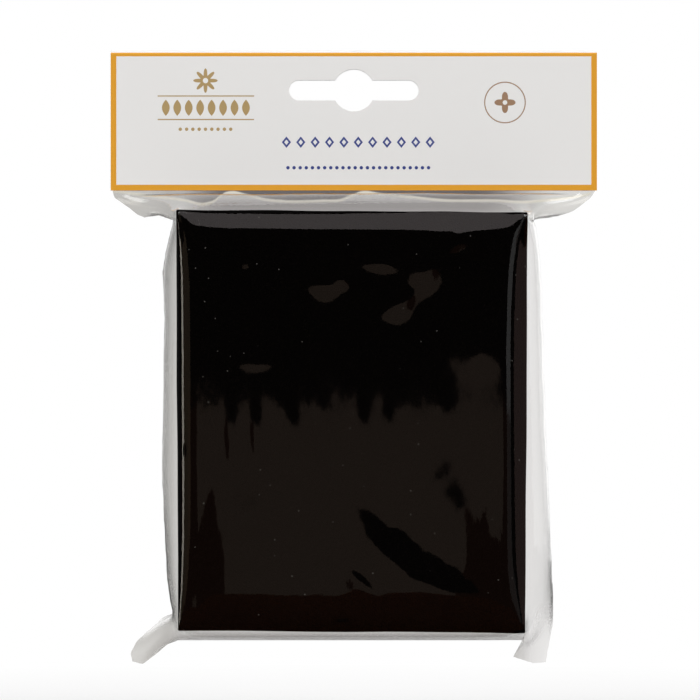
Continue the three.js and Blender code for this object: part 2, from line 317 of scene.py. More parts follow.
# The tube's folds, as they run from the card down to the ears' tips, (x, z) in mm
LEFT_FOLD = [
    (-MOUTH_HALF, -24.7), (-59.2, -26.5), (-55.8, -28.8), (-53.5, -30.7), (-51.7, -31.4),
    (-48.1, -30.9), (-44.3, -32.2), (-45.0, -33.6), (-46.4, -39.4), (-47.3, -44.8),
    (-46.8, -56.0), (-47.1, -72.7), (-47.4, -94.9), (-46.9, -106.0), (-46.1, -120.9),
    (-45.3, -126.5), (-44.5, -129.0), (-46.8, -129.8), (-53.4, -135.6), (-55.0, -138.6),
    (-54.4, -140.6),
]
RIGHT_FOLD = [
    (MOUTH_HALF, -24.7), (58.6, -26.5), (57.3, -27.5), (55.4, -29.0), (53.9, -30.0),
    (50.7, -31.0), (47.6, -31.6), (44.1, -31.9), (45.0, -33.5), (45.8, -39.4),
    (46.4, -48.0), (47.0, -69.0), (47.4, -83.0), (48.2, -98.6), (48.7, -113.0),
    (49.3, -125.0), (49.3, -131.5), (48.4, -137.0), (47.7, -141.4),
]
# The seam from each end of the block's bottom edge out to the same tips
LEFT_SEAM = [(-43.2, -135.6), (-45.9, -136.6), (-48.2, -138.6), (-51.8, -141.3), (-54.4, -140.6)]
RIGHT_SEAM = [(41.8, -135.6), (39.4, -140.2), (44.3, -141.8), (47.8, -141.7)]
# Long folds over the block's front, in mm
SLANTING_ROUTE = [(-5.0, -96.0), (4.5, -112.0), (12.7, -120.5), (24.0, -126.5), (50.0, -137.0)]
UPRIGHT_ROUTE = [(20.0, -84.0), (22.0, -96.0), (24.5, -110.0), (27.0, -125.0), (30.0, -154.0)]
# Creases over the block's front: a route of (x, z), the reach of its flanks on the left and
# on the right as one goes along it, and its height, in mm
CREASES = [
    (SLANTING_ROUTE, 6.2, 18.0, 0.46),
    ([(-4.0, -115.6), (3.0, -122.6), (10.2, -129.6)], 1.6, 3.6, 0.11),
    ([(6.5, -54.0), (17.0, -43.5), (27.0, -32.0)], 4.4, 5.0, 0.26),
    ([(5.3, -56.5), (11.3, -52.5), (16.3, -49.0)], 2.6, 3.2, 0.15),
    ([(19.5, -42.0), (27.5, -35.0), (37.5, -30.5)], 1.6, 2.8, 0.14),
    ([(-3.0, -42.2), (8.0, -42.2), (18.5, -45.0)], 2.0, 2.8, 0.13),
    ([(-15.0, -46.0), (-7.0, -47.4), (1.0, -46.0)], 2.4, 3.6, 0.16),
    ([(-8.5, -39.8), (-3.4, -44.0), (-1.0, -50.6)], 1.5, 2.2, 0.1),
    ([(-29.0, -42.4), (-24.0, -42.4)], 1.0, 1.8, 0.07),
    ([(-30.0, -67.1), (-17.6, -67.1)], 1.0, 1.7, 0.035),
    ([(20.0, -64.0), (42.0, -62.5)], 3.0, 7.0, 0.09),
    ([(-44.0, -67.0), (-33.0, -67.0)], 2.0, 6.0, 0.05),
    ([(-29.8, -156.0), (-29.8, -86.0)], 7.5, 14.0, 0.32),
    (UPRIGHT_ROUTE, 8.0, 12.0, 0.33),
]
# Short drawn-out folds below the middle, at these places from the left
SHORT_FOLDS = (-30.2, -23.9, -15.0, 2.1, 8.2)
CREASES += [([(x, -73.0), (x + 0.4, -98.0)], 1.5, 1.3, 0.055) for x in SHORT_FOLDS]
CREASE_WAVE = 0.006 * MM  # how uneven the creases are
# Over the block's faces the film starts to lie flat this far in from their edges, and lies
# quite flat that much further in, but for low long waves and fine drawn-out ones.
LAID_INSET, LAID_BLEND = 3 * MM, 6 * MM
LONG_WAVE, DRAWN_WAVE = 0.006 * MM, 0.016 * MM


def along(route, shares):
    """Points at shares of a route's length, from 0 to 1."""
    route = np.array(route, float)
    steps = np.linalg.norm(np.diff(route, axis=0), axis=1)
    at = np.concatenate([[0], np.cumsum(steps)]) / steps.sum()
    return np.stack([np.interp(shares, at, route[:, k]) for k in range(route.shape[1])], -1)


def leaning(plan, lean):
    """Points (x, z) made (x, y, z), where y grows evenly from the ear's root to its tip."""
    share = np.clip((EAR_ROOT - plan[:, 1]) / (EAR_ROOT - EAR_TIP), 0, 1)
    return np.stack([plan[:, 0], lean * share, plan[:, 1]], -1)


def film_guides(around, down):
    """Where the sheet starts and what it is held to. Its front half is a grid from the left
    fold to the right one; between them a column runs down the neck, over the block's top
    edge, down its face and in to the seam. Beside the block each row goes straight from
    that column to the fold. The back half is its mirror image."""
    flat = np.arange(around) / around * 2 * FLAT_WIDTH
    rows = np.linspace(0, FILM_LENGTH, down)
    front = flat <= FLAT_WIDTH
    flat_x = np.where(front, flat, 2 * FLAT_WIDTH - flat) - FLAT_WIDTH / 2
    face = foam_low[1] - FOAM_GAP
    column = [
        (-LAYER_GAP, CARD_BOTTOM + MOUTH_TUCK),
        (-LAYER_GAP, NECK_BOTTOM),
        (face, foam_high[2] + FOAM_GAP),
        (face, foam_low[2] - FOAM_GAP),
        (0, SEAM_LEVEL),
    ]
    middle = along(column, rows / FILM_LENGTH)
    below = np.clip((rows - MOUTH_TUCK) / (FILM_LENGTH - MOUTH_TUCK), 0, 1)
    folds = []
    for route, lean in zip((LEFT_FOLD, RIGHT_FOLD), EAR_LEANS):
        fold = leaning(along(np.array(route) * MM, below), lean)
        fold[:, 2] += np.maximum(MOUTH_TUCK - rows, 0)
        beside_block = np.clip((foam_high[2] - fold[:, 2]) / (foam_high[2] - EAR_ROOT), 0, 1)
        fold[:, 1] += FOLD_DRIFT * np.sin(np.pi * beside_block) * wander(fold, 24 * MM, 17)
        folds.append(fold)
    right = (flat_x > 0)[:, None]
    beside = np.abs(flat_x) - foam_half[0]
    out = np.clip(beside / (FLAT_WIDTH / 2 - foam_half[0]), 0, 1)[:, None]
    spread = np.clip((rows - MOUTH_TUCK) / MOUTH_SPREAD, 0, 1)[None, :]
    inner_x = np.clip(flat_x, -foam_half[0], foam_half[0])[:, None] + foam_centre[0] * spread
    start = np.zeros((around, down, 3))
    fold = np.where(right[..., None], folds[1][None], folds[0][None])
    start[..., 0] = (1 - out) * inner_x + out * fold[..., 0]
    start[..., 1] = (1 - out) * middle[None, :, 0]
    start[~front, :, 1] *= -1
    start[..., 1] += out * fold[..., 1]
    start[..., 2] = (1 - out) * middle[None, :, 1] + out * fold[..., 2]
    # The seam runs level below the block and then out along each ear.
    seam = np.stack([inner_x[:, -1], 0 * flat_x, np.full(around, SEAM_LEVEL)], -1)
    for side, route, lean in zip((~right, right), (LEFT_SEAM, RIGHT_SEAM), EAR_LEANS):
        ear = leaning(along(np.array(route) * MM, out[:, 0]), lean)
        seam = np.where(side & (out > 0), ear, seam)
    return start, folds, seam


def outline_table(pitch):
    """For each node of a grid over the front view, how far (x, z) a point there must move to
    lie inside the film's outline: nothing inside it, and outside it the way to the nearest
    point of its edges. Inside means that an odd number of edges lies to the right."""
    bottom = [(LEFT_SEAM[0][0], SEAM_LEVEL / MM), (RIGHT_SEAM[0][0], SEAM_LEVEL / MM)]
    mouth = [(MOUTH_HALF, 0.0), (-MOUTH_HALF, 0.0)]
    route = LEFT_FOLD + LEFT_SEAM[::-1] + bottom + RIGHT_SEAM + RIGHT_FOLD[::-1] + mouth
    route = np.array(route) * MM
    low, high = route.min(0) - OUTLINE_MARGIN, route.max(0) + OUTLINE_MARGIN
    axes = [np.arange(low[k], high[k], pitch) for k in (0, 1)]
    nodes = np.stack(np.meshgrid(*axes, indexing="ij"), -1)
    inside = np.zeros(nodes.shape[:2], bool)
    nearest = np.full(nodes.shape[:2], np.inf)
    push = np.zeros_like(nodes)
    for start, end in zip(route, np.roll(route, -1, 0)):
        edge = end - start
        share = np.clip(((nodes - start) @ edge) / max(edge @ edge, 1e-12), 0, 1)
        way = start + share[..., None] * edge - nodes
        far = np.linalg.norm(way, axis=-1)
        closer = far < nearest
        nearest = np.where(closer, far, nearest)
        push = np.where(closer[..., None], way, push)
        if edge[1] != 0:
            rise = (nodes[..., 1] - start[1]) / edge[1]
            crosses = (rise >= 0) & (rise < 1) & (start[0] + rise * edge[0] > nodes[..., 0])
            inside ^= crosses
    push[inside] = 0
    return low, pitch, push


def within_outline(sheet, table):
    """The sheet with each point moved by the outline table, read between its four nodes."""
    low, pitch, push = table
    place = (sheet[..., [0, 2]] - low) / pitch
    place = np.clip(place, 0, np.array(push.shape[:2]) - 1.001)
    i, j = np.floor(place).astype(int)[..., 0], np.floor(place).astype(int)[..., 1]
    u, v = (place[..., 0] - i)[..., None], (place[..., 1] - j)[..., None]
    near = (1 - v) * push[i, j] + v * push[i, j + 1]
    far = (1 - v) * push[i + 1, j] + v * push[i + 1, j + 1]
    sheet[..., [0, 2]] += (1 - u) * near + u * far
    return sheet


def links_pull(sheet, links):
    """The sum of what each link pulls on its two ends, to bring them to their flat distance.
    Film gives way in its own plane by fine puckers, so a short link pushes only weakly."""
    down = sheet.shape[1]
    total = np.zeros_like(sheet)
    for di, dj, rest, stiffness in links:
        here, there = slice(max(0, -dj), down - max(0, dj)), slice(max(0, dj), down + min(0, dj))
        gap = np.roll(sheet, -di, 0)[:, there] - sheet[:, here]
        length = np.maximum(np.linalg.norm(gap, axis=-1, keepdims=True), 1e-9)
        strain = 1 - rest / length
        pull = 0.5 * stiffness * np.where(strain < 0, PUCKER_SHARE, 1) * strain * gap
        total[:, here] += pull
        total[:, there] -= np.roll(pull, di, 0)
    return total


def off_block(sheet):
    """Points within the film's gap of the block are moved out of it, straight out from its
    core, and those in the core itself to the nearest face."""
    square = askew(sheet, -1)
    core, out, far = off_centre(square, FOAM_GAP)
    near = (far > 1e-9) & (far < 1)
    place = square - foam_centre
    square = np.where(near, core + out / np.maximum(far, 1e-9), square)
    inside = far[..., 0] < 1e-9
    if inside.any():
        size = foam_half + FOAM_GAP
        axis = np.argmin(size - np.abs(place), -1)
        for k in range(3):
            chosen = inside & (axis == k)
            side = np.where(place[chosen, k] >= 0, 1, -1)
            square[chosen, k] = foam_centre[k] + side * size[k]
    return np.where(near | inside[..., None], askew(square, 1), sheet)


def relax(sheet, folds, seam, steps, press, swell, table):
    """Lets the sheet settle: every step carries each point on by a part of its last move,
    pushes it outwards a little, pulls its neighbours back to their flat distances and evens
    out its bends. It is then held off the block, within its outline and the swell allowed
    over the block's faces, and to the card, folds and seam."""
    around, down = sheet.shape[:2]
    du, dv = 2 * FLAT_WIDTH / around, FILM_LENGTH / (down - 1)
    links = [
        (1, 0, du, STRETCH), (0, 1, dv, STRETCH),
        (1, 1, np.hypot(du, dv), SHEAR), (1, -1, np.hypot(du, dv), SHEAR),
    ]
    half = around // 2
    mirror = (-np.arange(around)) % around
    tucked = np.arange(down) * dv <= HELD_LENGTH
    held = sheet.copy()
    side = np.where(np.arange(around) <= half, -1, 1)[:, None]
    last = sheet.copy()
    for _ in range(steps):
        sheet, last = sheet + CARRY * (sheet - last), sheet
        across = np.roll(sheet, -1, 0) - np.roll(sheet, 1, 0)
        normal = np.cross(np.gradient(sheet, axis=1), across)
        normal /= np.maximum(np.linalg.norm(normal, axis=-1, keepdims=True), 1e-12)
        sheet = sheet + press * normal
        bend = np.roll(sheet, -1, 0) + np.roll(sheet, 1, 0) - 2 * sheet
        bend[[0, half]] = 0
        bend[:, 1:-1] += sheet[:, 2:] + sheet[:, :-2] - 2 * sheet[:, 1:-1]
        sheet = off_block(sheet + links_pull(sheet, links) + SPRING * bend)
        sheet = within_outline(sheet, table)
        # The two layers stay apart, and do not swell over the block's front and back.
        depth = side * sheet[..., 1]
        lap = np.minimum(depth + depth[mirror] - LAYER_GAP, 0) / 2
        lap[[0, half]] = 0
        over = np.abs(sheet - foam_centre)[..., [0, 2]] < foam_half[[0, 2]] - PRESSED_DEPTH
        inner_limit = foam_half[1] + FOAM_GAP + swell
        limit = np.where(over.all(-1), inner_limit, foam_half[1] + SIDE_LIFT)
        depth = np.minimum(depth - lap, limit)
        sheet[..., 1] = side * depth
        # The neck hangs straight, to a wavy line below the card's edge.
        neck = NECK_BOTTOM - NECK_WAVE * (1 + wander(sheet[..., :1] * (1, 0, 0), 26 * MM, 9)) / 2
        high = (sheet[..., 2] > neck) & (depth > NECK_HALF)
        drop = high & (sheet[..., 2] - neck < depth - NECK_HALF)
        sheet[..., 2] = np.where(drop, neck, sheet[..., 2])
        sheet[..., 1] = np.where(high & ~drop, side * NECK_HALF, sheet[..., 1])
        sheet[:, tucked] = held[:, tucked]
        for column, fold in ((0, folds[0]), (half, folds[1])):
            sheet[column] += FOLD_HOLD * (fold - sheet[column])
        joined = (sheet[:, -1] + sheet[mirror, -1]) / 2
        sheet[:, -1] = joined + SEAM_HOLD * (seam - joined)
    return sheet


def finer(sheet, around, down):
    """The sheet on a finer grid, by straight interpolation round and down it."""
    old_around, old_down = sheet.shape[:2]
    u = np.arange(around) * old_around / around
    i = np.floor(u).astype(int)
    f = (u - i)[:, None, None]
    wide = (1 - f) * sheet[i % old_around] + f * sheet[(i + 1) % old_around]
    v = np.linspace(0, old_down - 1, down)
    j = np.minimum(np.floor(v).astype(int), old_down - 2)
    g = (v - j)[None, :, None]
    return (1 - g) * wide[:, j] + g * wide[:, j + 1]


def creased(plan):
    """The height of the creases at points (x, z): each is highest along its route, falls off
    to both sides as a bell curve, and shrinks towards its ends as a sine squared."""
    total = np.zeros(plan.shape[:-1])
    for route, left, right, height in CREASES:
        route = np.array(route) * MM
        lengths = np.linalg.norm(np.diff(route, axis=0), axis=1)
        starts = np.concatenate([[0], np.cumsum(lengths)])
        nearest = np.full(total.shape, np.inf)
        flank, place = np.zeros_like(total), np.zeros_like(total)
        for k, (start, end) in enumerate(zip(route, route[1:])):
            edge = end - start
            share = np.clip(((plan - start) @ edge) / (edge @ edge), 0, 1)
            off = plan - start - share[..., None] * edge
            far = np.linalg.norm(off, axis=-1)
            closer = far < nearest
            nearest = np.where(closer, far, nearest)
            turned = edge[0] * off[..., 1] - edge[1] * off[..., 0]
            flank = np.where(closer, np.where(turned > 0, left, right) * MM, flank)
            place = np.where(closer, (starts[k] + share * lengths[k]) / starts[-1], place)
        taper = np.sin(np.pi * place)
        width = flank * (0.3 + 0.7 * taper)
        total += height * MM * taper**2 * np.exp(-((nearest / width) ** 2))
    uneven = wander(np.stack([plan[..., 0], 0 * total, plan[..., 1]], -1), 5 * MM, 41)
    return total + CREASE_WAVE * np.minimum(total / (0.1 * MM), 1) * uneven


def laid_flat(sheet):
    """Over the inner part of the block's front and back the film lies on the foam in long
    low waves and in fine ones drawn out up and down, with the creases on the front."""
    inset = foam_half[[0, 2]] - np.abs(sheet - foam_centre)[..., [0, 2]]
    share = np.clip((inset.min(-1) - LAID_INSET) / LAID_BLEND, 0, 1)
    share = share * share * (3 - 2 * share)
    front = sheet[..., 1] < 0
    for side, chosen in ((-1, front), (1, ~front)):
        plan = sheet * (1, 0, 1)
        long_waves = wander(plan, 34 * MM, 21 + side)
        drawn = wander(plan * (1, 0, 0.25), 4.5 * MM, 31 + side)
        drawn = drawn * (0.6 + 0.4 * wander(plan, 40 * MM, 35))
        height = FOAM_GAP + FACE_LIFT + LONG_WAVE * long_waves + DRAWN_WAVE * drawn
        if side < 0:
            height = height + creased(sheet[..., [0, 2]])
        flat = foam_centre[1] + side * (foam_half[1] + height)
        sheet[..., 1] = np.where(chosen, (1 - share) * sheet[..., 1] + share * flat, sheet[..., 1])
    return sheet


def film_sheet():
    """The settled sheet, from a coarse grid to a fine one."""
    grids = SETTLING
    table = outline_table(OUTLINE_PITCH)
    sheet = None
    for around, down, steps, press in grids:
        start, folds, seam = film_guides(around, down)
        if sheet is None:
            shake = np.stack([wander(start, 14 * MM, seed) for seed in (11, 12, 13)], -1)
            sheet = start + SHAKE * shake
        else:
            sheet = finer(sheet, around, down)
        sheet = relax(sheet, folds, seam, steps, press * MM, FACE_LIFT, table)
    return laid_flat(sheet)


def film_material():
    """A single clear sheet, grey-tinted and so darker where it lies in more layers, with painted
    shade on its left side and where it runs level below the card and below the block, painted
    light on its right side and right ear, and a painted shadow of the card edged by a painted
    reflection of its border. It mirrors the more the more it is seen edge-on: by the fifth power
    of Layer Weight's facing for one face of the film, and by 2F / (1 + F) for both of its faces
    together."""
    material, output = new_material("clear_film")
    tree = material.node_tree
    place = node(tree, "ShaderNodeTexCoord"), "Object"
    axes = node(tree, "ShaderNodeSeparateXYZ", {"Vector": place})
    across, height = (axes, "X"), (axes, "Z")
    depth = calc(tree, "ABSOLUTE", (axes, "Y"))
    aside = calc(tree, "ABSOLUTE", across)
    # Fine crinkles, drawn out up and down the bag, which lie almost flat on the block
    drawn_out = {0: place, 1: (1.0, 1.0, 0.3)}
    upright = node(tree, "ShaderNodeVectorMath", drawn_out, operation="MULTIPLY")
    crinkle = noise(tree, (upright, 0), CRINKLE_PITCH)
    slack = ramp(tree, depth, *SLACK_BAND, out=(0.3, 0.035))
    dents = {"Height": crinkle, "Strength": slack, "Distance": CRINKLE_DEPTH}
    normal = node(tree, "ShaderNodeBump", dents), "Normal"
    facing = node(tree, "ShaderNodeLayerWeight", {"Blend": 0.5, "Normal": normal})
    fifth = calc(tree, "POWER", (facing, "Facing"), 5.0)
    single = calc(tree, "MULTIPLY_ADD", fifth, 0.96, 0.04)
    double = calc(tree, "MULTIPLY", single, 2.0)
    glancing = calc(tree, "DIVIDE", double, calc(tree, "ADD", single, 1.0))
    # Crinkles keep any patch of the film from being seen edge-on all over.
    mirrored = calc(tree, "MINIMUM", glancing, 0.5)
    # Painted shade where the sheet runs almost level below the card and below the block, and on
    # the front layer a painted shadow of the card with a painted reflection of its border along
    # its wavy edge.
    middle = ramp(tree, aside, *MIDDLE_BAND, kind="SMOOTHSTEP")
    off_roof = calc(tree, "ABSOLUTE", calc(tree, "SUBTRACT", height, ROOF_LEVEL))
    roof = ramp(tree, off_roof, *ROOF_BAND, kind="SMOOTHSTEP")
    roof = calc(tree, "MULTIPLY", roof, middle)
    under = ramp(tree, height, *UNDER_BAND, out=(0.0, 0.5))
    under = calc(tree, "MULTIPLY", under, middle)
    level = calc(tree, "MAXIMUM", roof, under)
    off_card_shadow = node(tree, "ShaderNodeAttribute", attribute_name="above_hem"), "Fac"
    # Painted shadow of the card above its wavy edge
    turned = calc(tree, "MULTIPLY", ramp(tree, off_card_shadow, *CARD_SHADOW_BAND), middle)
    # Painted reflection of the card's orange border along the shadow's wavy edge
    edge = ramp(tree, calc(tree, "ABSOLUTE", off_card_shadow), *BORDER_REFLECTION_BAND)
    # Painted shade over the film's left side, painted light over its right side and its right ear
    left = ramp(tree, across, *LEFT_BAND)
    right = ramp(tree, across, *RIGHT_BAND)
    right = calc(tree, "MULTIPLY", right, ramp(tree, height, *RIGHT_TOP))
    right_ear = ramp(tree, across, *RIGHT_EAR_BAND)
    right_ear = calc(tree, "MULTIPLY", right_ear, ramp(tree, height, *RIGHT_EAR_TOP))
    tint_and_painted_light = FILM_TINT
    for share, colour in (
        (left, LEFT_PAINTED_SHADE),
        (right, RIGHT_PAINTED_LIGHT),
        (right_ear, RIGHT_EAR_PAINTED_LIGHT),
        (level, ROOF_PAINTED_SHADE),
        (turned, CARD_SHADOW_PAINT),
        (edge, BORDER_REFLECTION_PAINT),
    ):
        tint_and_painted_light = colour_between(tree, share, tint_and_painted_light, colour)
    through = node(tree, "ShaderNodeBsdfTransparent", {"Color": tint_and_painted_light})
    # The ears are crumpled all over, so they shine dully.
    ear = ramp(tree, aside, *DULL_BAND, out=(0.0, 0.35))
    ear = calc(tree, "MULTIPLY", ear, ramp(tree, height, *DULL_TOP))
    rough = calc(tree, "ADD", ramp(tree, depth, *SMOOTH_BAND, out=(0.2, 0.03)), ear)
    shine = {"Color": (1, 1, 1, 1), "Roughness": rough, "Normal": normal}
    gloss = node(tree, "ShaderNodeBsdfAnisotropic", shine)
    mix = node(tree, "ShaderNodeMixShader", {0: mirrored, 1: (through, 0), 2: (gloss, 0)})
    tree.links.new(mix.outputs[0], output.inputs[0])
    return material


def above_hem(points):
    """How far points lie above the edge of the card's painted shadow, a cubic through its points
    whose slope at each is that of the line between its two neighbours."""
    across, level = np.array(CARD_SHADOW_EDGE).T * MM
    slope = np.gradient(level, across)
    k = np.clip(np.searchsorted(across, points[:, 0]) - 1, 0, len(across) - 2)
    width = across[k + 1] - across[k]
    t = np.clip((points[:, 0] - across[k]) / width, 0, 1)
    edge = (1 + 2 * t) * (1 - t) ** 2 * level[k] + t * t * (3 - 2 * t) * level[k + 1]
    edge += width * t * (1 - t) * ((1 - t) * slope[k] - t * slope[k + 1])
    return points[:, 2] - edge


def film_bag():
    sheet = film_sheet()
    around, down = sheet.shape[:2]
    index = np.arange(around * down).reshape(around, down)
    # Both layers share the points of the seam.
    mirror = (-np.arange(around)) % around
    index[:, -1] = np.minimum(index[:, -1], index[mirror, -1])
    beside = np.roll(index, -1, 0)
    quads = np.stack([index[:, :-1], index[:, 1:], beside[:, 1:], beside[:, :-1]], -1)
    used, faces = np.unique(quads.reshape(-1, 4), return_inverse=True)
    points = sheet.reshape(-1, 3)[used]
    piece = mesh_piece("film_bag", points, faces.reshape(-1, 4), film_material())
    # The tube's two folds and its seam are sharp.
    folded = np.zeros(around * down, bool)
    folded[index[[0, around // 2]]] = True
    folded[index[:, -1]] = True
    ends = np.zeros(2 * len(piece.data.edges), int)
    piece.data.edges.foreach_get("vertices", ends)
    sharp = folded[used][ends].reshape(-1, 2).all(1)
    piece.data.attributes.new("sharp_edge", "BOOLEAN", "EDGE").data.foreach_set("value", sharp)
    above = np.where(used < around * down // 2, above_hem(points), -1.0)
    piece.data.attributes.new("above_hem", "FLOAT", "POINT").data.foreach_set("value", above)
    return piece


film = film_bag()
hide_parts("bag", "bag_mouth")
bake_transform(film)


# Card: one strip of white coated board, creased across its middle and folded over the
# mouth of the bag, with a printed orange border and the hang slot punched through both
# panels.
card_low, card_high = (np.array(corner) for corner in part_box("header_card"))
BORDER = 1.4 * MM
PRINT_DEPTH = 0.1 * MM  # what lies this near to an outer face has the print
CARD_GRAIN = 0.5 * MM
WHITE_CARD = (0.9, 0.9, 0.89, 1)
ORANGE = (0.82, 0.375, 0.022, 1)
GOLD = (0.47, 0.33, 0.14, 1)
BLUE = (0.03, 0.055, 0.26, 1)
BROWN = (0.36, 0.22, 0.13, 1)
# The middles and reaches of the rosette and the flower, and the radius of the flower's ring
ROSETTE_X, ROSETTE_Z, ROSETTE_REACH = -36.6 * MM, 2.4 * MM, 3.0 * MM
FLOWER_X, FLOWER_Z, FLOWER_REACH = 37.3 * MM, -3.0 * MM, 2.6 * MM
RING_RADIUS, RING_HALF_WIDTH = 5.0 * MM, 0.14 * MM
RULE_LEFT, RULE_RIGHT, RULE_HEIGHT = -48.4 * MM, -24.6 * MM, 0.3 * MM
LEAF_HALF_WIDTH, LEAF_HALF_HEIGHT = 0.95 * MM, 2.0 * MM
DOT_RADIUS = 0.42 * MM
LOZENGE_HALF_HEIGHT, LOZENGE_LINE = 1.05 * MM, 0.36 * MM


def card_material():
    """White board whose outer faces have an orange border, and whose front has three plain
    ornaments: a rosette over a row of leaves, a row of lozenges, and a four-leaf flower."""
    material, output = new_material("printed_card")
    tree = material.node_tree
    place = node(tree, "ShaderNodeTexCoord"), "Object"
    axes = node(tree, "ShaderNodeSeparateXYZ", {"Vector": place})
    x, y, z = (axes, "X"), (axes, "Y"), (axes, "Z")
    centre, half = (card_low + card_high) / 2, (card_high - card_low) / 2

    def away(value, at):
        return calc(tree, "ABSOLUTE", calc(tree, "SUBTRACT", value, at))

    def together(operation, masks):
        total = masks[0]
        for mask in masks[1:]:
            total = calc(tree, operation, total, mask)
        return total

    def both(*masks):
        return together("MULTIPLY", masks)

    def either(*masks):
        return together("MAXIMUM", masks)

    def within(value, limit):
        return calc(tree, "LESS_THAN", value, limit)

    def beyond(value, limit):
        return calc(tree, "GREATER_THAN", value, limit)

    def between(left, right):
        return within(away(x, (left + right) / 2), (right - left) / 2)

    def rule(level):
        return both(between(RULE_LEFT, RULE_RIGHT), within(away(z, level), RULE_HEIGHT / 2))

    def radius(across, level):
        rise = calc(tree, "SUBTRACT", z, level)
        squares = [calc(tree, "MULTIPLY", side, side) for side in (across, rise)]
        return calc(tree, "SQRT", calc(tree, "ADD", *squares))

    def flower(at, level, reach, petals):
        """A disc whose edge waves in and out as often as it has petals, with an open eye."""
        across = calc(tree, "SUBTRACT", x, at)
        angle = calc(tree, "ARCTAN2", calc(tree, "SUBTRACT", z, level), across)
        wave = calc(tree, "COSINE", calc(tree, "MULTIPLY", angle, petals))
        edge = calc(tree, "MULTIPLY_ADD", wave, 0.28 * reach, 0.72 * reach)
        far = radius(across, level)
        return both(within(far, edge), beyond(far, 0.22 * reach))

    def row(left, right, level, marks, shape):
        """marks equal marks between left and right, where shape makes one from the distance
        along X from its middle and the level."""
        pitch = (right - left) / marks
        turns = calc(tree, "DIVIDE", calc(tree, "SUBTRACT", x, left), pitch)
        across = calc(tree, "MULTIPLY", away(calc(tree, "FRACT", turns), 0.5), pitch)
        return both(shape(across, level), between(left, right))

    def leaf(across, level):
        """The space between two arcs: its width falls from the middle as a parabola."""
        rise = calc(tree, "DIVIDE", away(z, level), LEAF_HALF_HEIGHT)
        share = calc(tree, "SUBTRACT", 1.0, calc(tree, "MULTIPLY", rise, rise))
        return within(across, calc(tree, "MULTIPLY", share, LEAF_HALF_WIDTH))

    def dot(across, level):
        return within(radius(across, level), DOT_RADIUS)

    def lozenge(across, level):
        """A line where 1.25 times the way across and the way up add up to one number."""
        far = calc(tree, "ADD", calc(tree, "MULTIPLY", across, 1.25), away(z, level))
        return within(away(far, LOZENGE_HALF_HEIGHT), LOZENGE_LINE)

    gold = either(
        flower(ROSETTE_X, ROSETTE_Z, ROSETTE_REACH, 8),
        rule(-1.4 * MM),
        row(-47.8 * MM, -25.2 * MM, -4.3 * MM, 8, leaf),
        rule(-7.2 * MM),
        row(-43.6 * MM, -29.6 * MM, -9.6 * MM, 9, dot),
    )
    blue = either(
        row(-18.4 * MM, 20.6 * MM, -12.8 * MM, 11, lozenge),
        row(-17.0 * MM, 19.2 * MM, -19.1 * MM, 24, dot),
    )
    off_ring = away(radius(calc(tree, "SUBTRACT", x, FLOWER_X), FLOWER_Z), RING_RADIUS)
    four_leaves = flower(FLOWER_X, FLOWER_Z, FLOWER_REACH, 4)
    brown = either(four_leaves, within(off_ring, RING_HALF_WIDTH))
    front = within(y, card_low[1] + PRINT_DEPTH)
    outer = beyond(away(y, centre[1]), half[1] - PRINT_DEPTH)
    border = either(
        beyond(away(x, centre[0]), half[0] - BORDER),
        beyond(away(z, centre[2]), half[2] - BORDER),
    )
    colour = WHITE_CARD
    for mask, ink in (
        (both(border, outer), ORANGE),
        (both(gold, front), GOLD),
        (both(blue, front), BLUE),
        (both(brown, front), BROWN),
    ):
        colour = colour_between(tree, mask, colour, ink)
    grain = {"Height": noise(tree, place, CARD_GRAIN), "Strength": 0.1, "Distance": 0.02 * MM}
    bump = node(tree, "ShaderNodeBump", grain)
    coat = {"Base Color": colour, "Normal": (bump, "Normal"), "Roughness": 0.45}
    surface = node(tree, "ShaderNodeBsdfPrincipled", coat)
    tree.links.new(surface.outputs[0], output.inputs[0])
    return material


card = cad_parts["header_card"]
card.material_slots[0].material = card_material()


# Glue: two thin strips of clear amber hot-melt glue, one on each side of the film. They
# were pressed flat when the card was folded over the mouth, and hold it between the panels.
GLUE_MOTTLE = 3 * MM
DARK_GLUE = (0.5, 0.42, 0.26, 1)
PALE_GLUE = (0.66, 0.6, 0.44, 1)


def glue_material():
    """Amber, cloudy from a darker to a paler shade."""
    material, output = new_material("dried_glue")
    tree = material.node_tree
    mottle = noise(tree, (node(tree, "ShaderNodeTexCoord"), "Object"), GLUE_MOTTLE)
    shade = node(tree, "ShaderNodeValToRGB", {"Fac": mottle})
    shade.color_ramp.elements[0].color = DARK_GLUE
    shade.color_ramp.elements[1].color = PALE_GLUE
    looks = {"Base Color": (shade, "Color"), "Roughness": 0.35}
    surface = node(tree, "ShaderNodeBsdfPrincipled", looks)
    tree.links.new(surface.outputs[0], output.inputs[0])
    return material


glue = glue_material()
for name in ("glue_strip_front", "glue_strip_back"):
    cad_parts[name].material_slots[0].material = glue


# Floor: a plain pale sheet just below the pack. The camera sees it fade to pure white away
# from the pack, and the film over the block mirrors its front part as a dark room.
FLOOR_LEVEL = -0.158
FLOOR_REACH = 1.6
FLOOR_FRONT = -0.55
WHITE_BAND = (0.05, 0.3)  # how far off it fades from pale to white for the camera
DARK_BAND = (0.03, 0.0)  # where its front part begins, forward or back of the pack
PALE_FLOOR = (0.8, 0.8, 0.8, 1)
DARK_ROOM = (0.036, 0.013, 0.006, 1)
WHITE = (1, 1, 1, 1)


